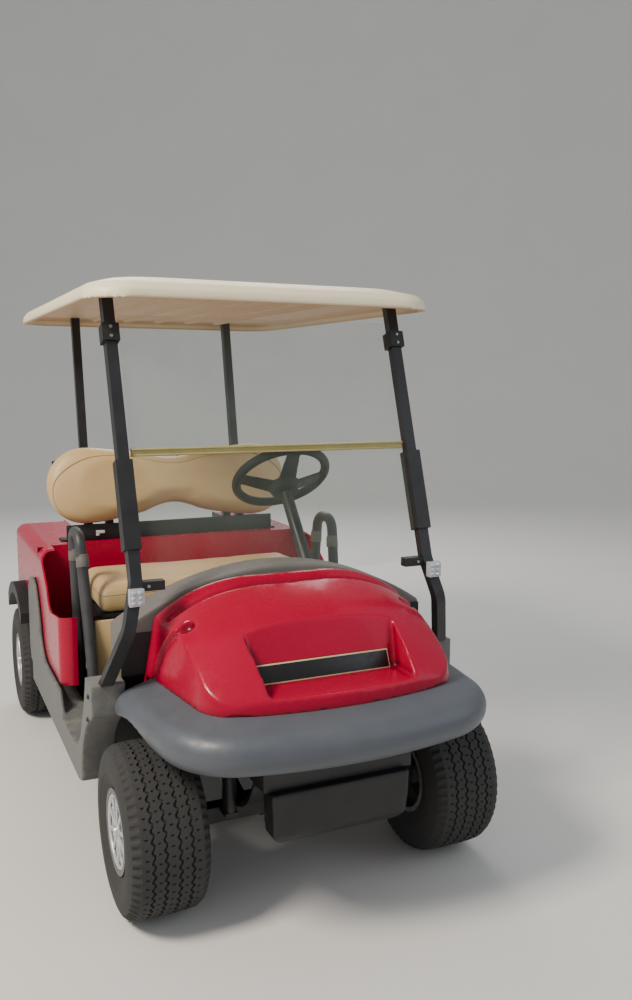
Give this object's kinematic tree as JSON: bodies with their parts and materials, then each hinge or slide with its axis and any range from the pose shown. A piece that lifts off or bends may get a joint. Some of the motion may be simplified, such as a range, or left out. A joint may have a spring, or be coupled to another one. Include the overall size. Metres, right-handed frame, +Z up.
{
  "type": "golf cart",
  "caption": "Two-seat golf cart with a canopy, folding windscreen, lifting bench seat, rear bag well, steered front wheels and free rolling wheels.",
  "frame": {"origin": "on the ground under the middle of the cart's bounding box", "axes": "+Z up, the cart faces -Y, +X is the cart's own left, the driver's side"},
  "size_m": [1.2, 2.33, 1.718],
  "materials": {
    "tyre": "worn rubber",
    "rim": "silver painted",
    "steel": "black",
    "cast": "grey black",
    "red": "gloss",
    "grey": "satin",
    "black": "satin",
    "mat": "ribbed",
    "tan": "vinyl",
    "cream": "smooth",
    "clear": "clear acrylic",
    "amber": "amber vinyl",
    "lamp": "clear lens"
  },
  "bodies": {
    "chassis": {"frame_rails": "steel", "cross_members": "steel", "floor_pan": "black", "floor_mat": "mat", "front_cowl": "red", "dash": "grey", "front_bumper": "grey", "front_lower_cover": "black", "rocker_panels": "grey", "rear_body": "red", "bag_well": "black", "rear_flares": "black", "rear_bumper": "black", "seat_skirt": "tan", "seat_hinges": "steel", "seat_back_cushion": "tan", "seat_back_frame": "steel", "hip_restraints": "black", "front_struts": "steel", "rear_struts": "steel", "canopy": "cream", "windscreen_lower": "clear", "windscreen_upper": "clear", "windscreen_hinge": "amber", "windscreen_clips": "black", "strut_sleeves": "black", "marker_lamps": "lamp", "steering_column": "steel", "pedals": "black", "front_axle": "cast", "rear_axle": "cast", "motor": "cast", "leaf_springs": "steel", "shock_absorbers": "steel", "battery_block": "black", "bag_rack": "black"},
    "steering": {"steering_wheel": "black"},
    "rack": {"tie_rods": "steel"},
    "knuckle_right_body": {"knuckle_right": "cast"},
    "knuckle_left_body": {"knuckle_left": "cast"},
    "front_wheel_right": {"tyre_front_right": "tyre", "wheel_front_right": "rim"},
    "front_wheel_left": {"tyre_front_left": "tyre", "wheel_front_left": "rim"},
    "rear_wheel_right": {"tyre_rear_right": "tyre", "wheel_rear_right": "rim"},
    "rear_wheel_left": {"tyre_rear_left": "tyre", "wheel_rear_left": "rim"},
    "seat": {"seat_cushion": "tan", "seat_base": "black"}
  },
  "joints": [
    {"name": "steering_turn", "type": "hinge", "parent": "chassis", "child": "steering", "pos_m": [0.2, -0.112, 1.086], "axis": [0, 0.6428, 0.766], "range_deg": [-360, 360]},
    {"name": "rack_slide", "type": "slide", "parent": "chassis", "child": "rack", "axis": [-1, 0, 0], "range_m": [-0.0466, 0.0466]},
    {"name": "steer_right", "type": "hinge", "parent": "chassis", "child": "knuckle_right_body", "pos_m": [-0.32, -0.742, 0.2286], "axis": [0, 0, 1], "range_deg": [-25, 25]},
    {"name": "steer_left", "type": "hinge", "parent": "chassis", "child": "knuckle_left_body", "pos_m": [0.32, -0.742, 0.2286], "axis": [0, 0, 1], "range_deg": [-25, 25]},
    {"name": "spin_front_right", "type": "hinge", "parent": "knuckle_right_body", "child": "front_wheel_right", "pos_m": [-0.44, -0.742, 0.2286], "axis": [1, 0, 0], "continuous": true},
    {"name": "spin_front_left", "type": "hinge", "parent": "knuckle_left_body", "child": "front_wheel_left", "pos_m": [0.44, -0.742, 0.2286], "axis": [1, 0, 0], "continuous": true},
    {"name": "spin_rear_right", "type": "hinge", "parent": "chassis", "child": "rear_wheel_right", "pos_m": [-0.49, 0.922, 0.2286], "axis": [1, 0, 0], "continuous": true},
    {"name": "spin_rear_left", "type": "hinge", "parent": "chassis", "child": "rear_wheel_left", "pos_m": [0.49, 0.922, 0.2286], "axis": [1, 0, 0], "continuous": true},
    {"name": "seat_lift", "type": "hinge", "parent": "chassis", "child": "seat", "pos_m": [0, 0.432, 0.621], "axis": [-1, 0, 0], "range_deg": [0, 55]}
  ],
  "couplings": [
    {"joint": "rack_slide", "follows": "steering_turn", "m_per_rad": 0.0073988},
    {"joint": "steer_right", "follows": "steering_turn", "ratio": 0.069444},
    {"joint": "steer_left", "follows": "steering_turn", "ratio": 0.069444}
  ]
}
